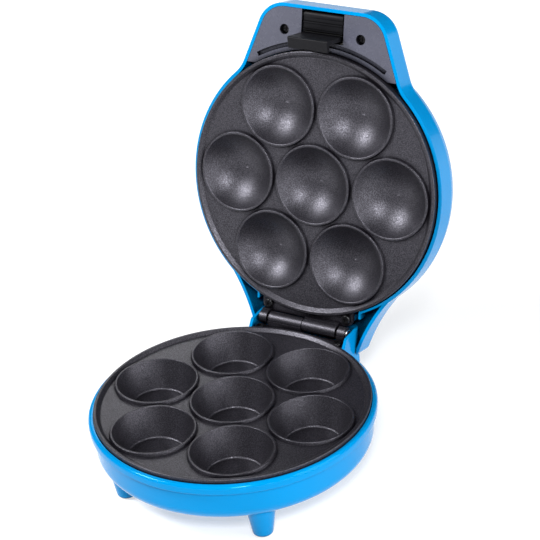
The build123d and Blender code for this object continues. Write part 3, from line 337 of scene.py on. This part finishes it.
def add_softbox(name, place, target, size, power):
    """Rectangular area lamp aimed at a point."""
    lamp = bpy.data.lights.new(name, "AREA")
    lamp.shape = "RECTANGLE"
    lamp.size, lamp.size_y = size
    lamp.energy = power
    aim = (Vector(target) - Vector(place)).to_track_quat("-Z", "Y")
    put_in_scene(name, lamp).matrix_world = Matrix.Translation(place) @ aim.to_matrix().to_4x4()


def camera_turn(azimuth, elevation, roll):
    """Turn of a camera that stands at these angles round the part and looks at it."""
    level = math.cos(elevation)
    back = Vector((math.sin(azimuth) * level, -math.cos(azimuth) * level, math.sin(elevation)))
    right = Vector((math.cos(azimuth), math.sin(azimuth), 0.0))
    up = back.cross(right)
    turned_right = right * math.cos(roll) + up * math.sin(roll)
    turned_up = up * math.cos(roll) - right * math.sin(roll)
    return Matrix((turned_right, turned_up, back)).transposed().to_4x4()


def add_camera(studio):
    """Camera as fitted to the photo."""
    camera = bpy.data.cameras.new("camera")
    camera.lens = studio.focal_length
    camera.sensor_width = SENSOR_WIDTH_MM
    camera.clip_end = VIEW_REACH
    holder = put_in_scene("camera", camera)
    turn = camera_turn(studio.azimuth, studio.elevation, studio.roll)
    holder.matrix_world = Matrix.Translation(studio.camera_place) @ turn
    bpy.context.scene.camera = holder


def colour_setting(name, description, default):
    """Colour that a user can change."""
    return bpy.props.FloatVectorProperty(
        name=name, description=description, subtype="COLOR", size=3, default=default, min=0.0, max=1.0)


def angle_setting(name, description, degrees):
    """Angle that a user can change."""
    return bpy.props.FloatProperty(
        name=name, description=description, subtype="ANGLE", unit="ROTATION", default=math.radians(degrees))


class CakeMakerColours(bpy.types.PropertyGroup):
    shell: colour_setting("Shell", "Colour of the glossy shells and feet", (0.0, 0.19, 0.455))
    coating: colour_setting("Coating", "Colour of the plates' non-stick coat", (0.003, 0.0027, 0.0038))
    fleck: colour_setting("Fleck", "Colour of the fine flecks in the coat", (0.009, 0.0082, 0.011))
    cover: colour_setting("Handle cover", "Colour of the cover below the handle", (0.055, 0.057, 0.08))
    latch: colour_setting("Latch", "Colour of the latch", (0.005, 0.005, 0.0065))


class CakeMakerStudio(bpy.types.PropertyGroup):
    camera_place: bpy.props.FloatVectorProperty(
        name="Camera place", description="Where the camera stands", subtype="TRANSLATION", unit="LENGTH",
        size=3, default=(0.60714, -0.96849, 0.76983))
    azimuth: angle_setting("Azimuth", "How far the camera stands round to the right", 31.52)
    elevation: angle_setting("Elevation", "How far the camera looks down", 29.13)
    roll: angle_setting("Roll", "Turn of the picture", -4.77)
    focal_length: bpy.props.FloatProperty(
        name="Focal length", description="Lens of the camera", unit="CAMERA", default=128.89, min=10.0)
    floor: colour_setting("Floor", "Colour of the studio floor", (0.85, 0.85, 0.85))


class CAKEMAKER_OT_shell_finish(bpy.types.Operator):
    """Give the base, lid and feet their glossy plastic"""
    bl_idname = "cakemaker.shell_finish"
    bl_label = "Finish the shells"

    def execute(self, context):
        colours = context.scene.cake_maker_colours
        dress(glossy_shell(tuple(colours.shell)), "base_housing", "lid_housing", "feet")
        return {"FINISHED"}


class CAKEMAKER_OT_plate_finish(bpy.types.Operator):
    """Give both cooking plates their flecked non-stick coat"""
    bl_idname = "cakemaker.plate_finish"
    bl_label = "Finish the cooking plates"

    def execute(self, context):
        colours = context.scene.cake_maker_colours
        coat = coated_casting(tuple(colours.coating), tuple(colours.fleck))
        dress(coat, "lower_cook_plate", "upper_cook_plate")
        return {"FINISHED"}


class CAKEMAKER_OT_handle_finish(bpy.types.Operator):
    """Give the handle cover and the latch their satin plastics"""
    bl_idname = "cakemaker.handle_finish"
    bl_label = "Finish the handle"

    def execute(self, context):
        colours = context.scene.cake_maker_colours
        cover = satin_plastic(
            "satin_cover_plastic", tuple(colours.cover), rough_from=0.24, rough_to=0.3, gloss=0.75)
        latch = satin_plastic(
            "latch_plastic", tuple(colours.latch), rough_from=0.42, rough_to=0.5, gloss=0.12)
        dress(cover, "handle_cover")
        dress(latch, "latch")
        return {"FINISHED"}


class CAKEMAKER_OT_metal_finish(bpy.types.Operator):
    """Give screws, pins, spring, clips, sheets and heating tubes their metals"""
    bl_idname = "cakemaker.metal_finish"
    bl_label = "Finish the metal parts"

    def execute(self, context):
        blackened = plain_metal("blackened_steel", BLACKENED_STEEL, rough_from=0.3, rough_to=0.42)
        drawn = plain_metal(
            "drawn_steel", DRAWN_STEEL, rough_from=0.22, rough_to=0.38, stretch=DRAWN_ALONG_X)
        dulled = plain_metal(
            "dulled_steel", DULLED_STEEL, rough_from=0.4, rough_to=0.55, stretch=DRAWN_ALONG_X)
        tube = plain_metal("heat_tinted_tube", HEAT_TINTED_STEEL, rough_from=0.35, rough_to=0.5)
        sheet = plain_metal(
            "bright_sheet", BRIGHT_METAL, rough_from=0.2, rough_to=0.32, stretch=ROLLED_ALONG_X)
        dress(blackened, "lower_plate_screws", "upper_plate_screws", "handle_cover_screws")
        dress(drawn, "hinge_pin", "base_screws", "thermal_fuse")
        for level in ("lower", "upper"):
            dress(drawn, f"{level}_element_clips", f"{level}_clip_screws")
            dress(tube, f"{level}_heating_element")
            dress(sheet, f"{level}_heat_reflector")
        dress(dulled, "latch_pin", "latch_spring")
        return {"FINISHED"}


class CAKEMAKER_OT_small_part_finish(bpy.types.Operator):
    """Give rubber, ceramic, lenses and lamps their finishes"""
    bl_idname = "cakemaker.small_part_finish"
    bl_label = "Finish the small parts"

    def execute(self, context):
        dress(soft_rubber(BLACK_RUBBER), "foot_pads", "cord_bush")
        ceramic = satin_plastic("pale_ceramic", PALE_CERAMIC, rough_from=0.5, rough_to=0.65)
        dress(ceramic, "thermostat", "terminal_block", "lamp_holder")
        dress(lamp_lens("red_lens", CLEAR_RED), "power_lamp_lens")
        dress(lamp_lens("green_lens", CLEAR_GREEN), "ready_lamp_lens")
        dress(lamp_lens("neon_glass", WARM_GLASS), "neon_lamps")
        return {"FINISHED"}


class CAKEMAKER_OT_studio(bpy.types.Operator):
    """Set up the floor, the light and the camera"""
    bl_idname = "cakemaker.studio"
    bl_label = "Set up the studio"

    def execute(self, context):
        studio = context.scene.cake_maker_studio
        add_floor(tuple(studio.floor))
        add_sky()
        context.scene.view_settings.view_transform = "Standard"
        for name, (place, target, size, power) in SOFTBOXES.items():
            add_softbox(name, place, target, size, power)
        add_camera(studio)
        return {"FINISHED"}


OPERATORS = (
    CAKEMAKER_OT_shell_finish,
    CAKEMAKER_OT_plate_finish,
    CAKEMAKER_OT_handle_finish,
    CAKEMAKER_OT_metal_finish,
    CAKEMAKER_OT_small_part_finish,
    CAKEMAKER_OT_studio,
)


class CAKEMAKER_PT_sidebar(bpy.types.Panel):
    """Lists the settings and the operators"""
    bl_idname = "CAKEMAKER_PT_sidebar"
    bl_label = "Mini cake maker"
    bl_space_type = "VIEW_3D"
    bl_region_type = "UI"
    bl_category = "Cake maker"

    def draw(self, context):
        layout = self.layout
        for settings in (context.scene.cake_maker_colours, context.scene.cake_maker_studio):
            box = layout.box()
            for name in settings.__annotations__:
                box.prop(settings, name)
        for operator in OPERATORS:
            layout.operator(operator.bl_idname)


CLASSES = (CakeMakerColours, CakeMakerStudio) + OPERATORS + (CAKEMAKER_PT_sidebar,)


def register():
    for cls in CLASSES:
        bpy.utils.register_class(cls)
    bpy.types.Scene.cake_maker_colours = bpy.props.PointerProperty(type=CakeMakerColours)
    bpy.types.Scene.cake_maker_studio = bpy.props.PointerProperty(type=CakeMakerStudio)


def unregister():
    del bpy.types.Scene.cake_maker_studio
    del bpy.types.Scene.cake_maker_colours
    for cls in reversed(CLASSES):
        bpy.utils.unregister_class(cls)


def main():
    register()
    bpy.ops.cakemaker.shell_finish()
    bpy.ops.cakemaker.plate_finish()
    bpy.ops.cakemaker.handle_finish()
    bpy.ops.cakemaker.metal_finish()
    bpy.ops.cakemaker.small_part_finish()
    bpy.ops.cakemaker.studio()


if __name__ == "__main__":
    main()
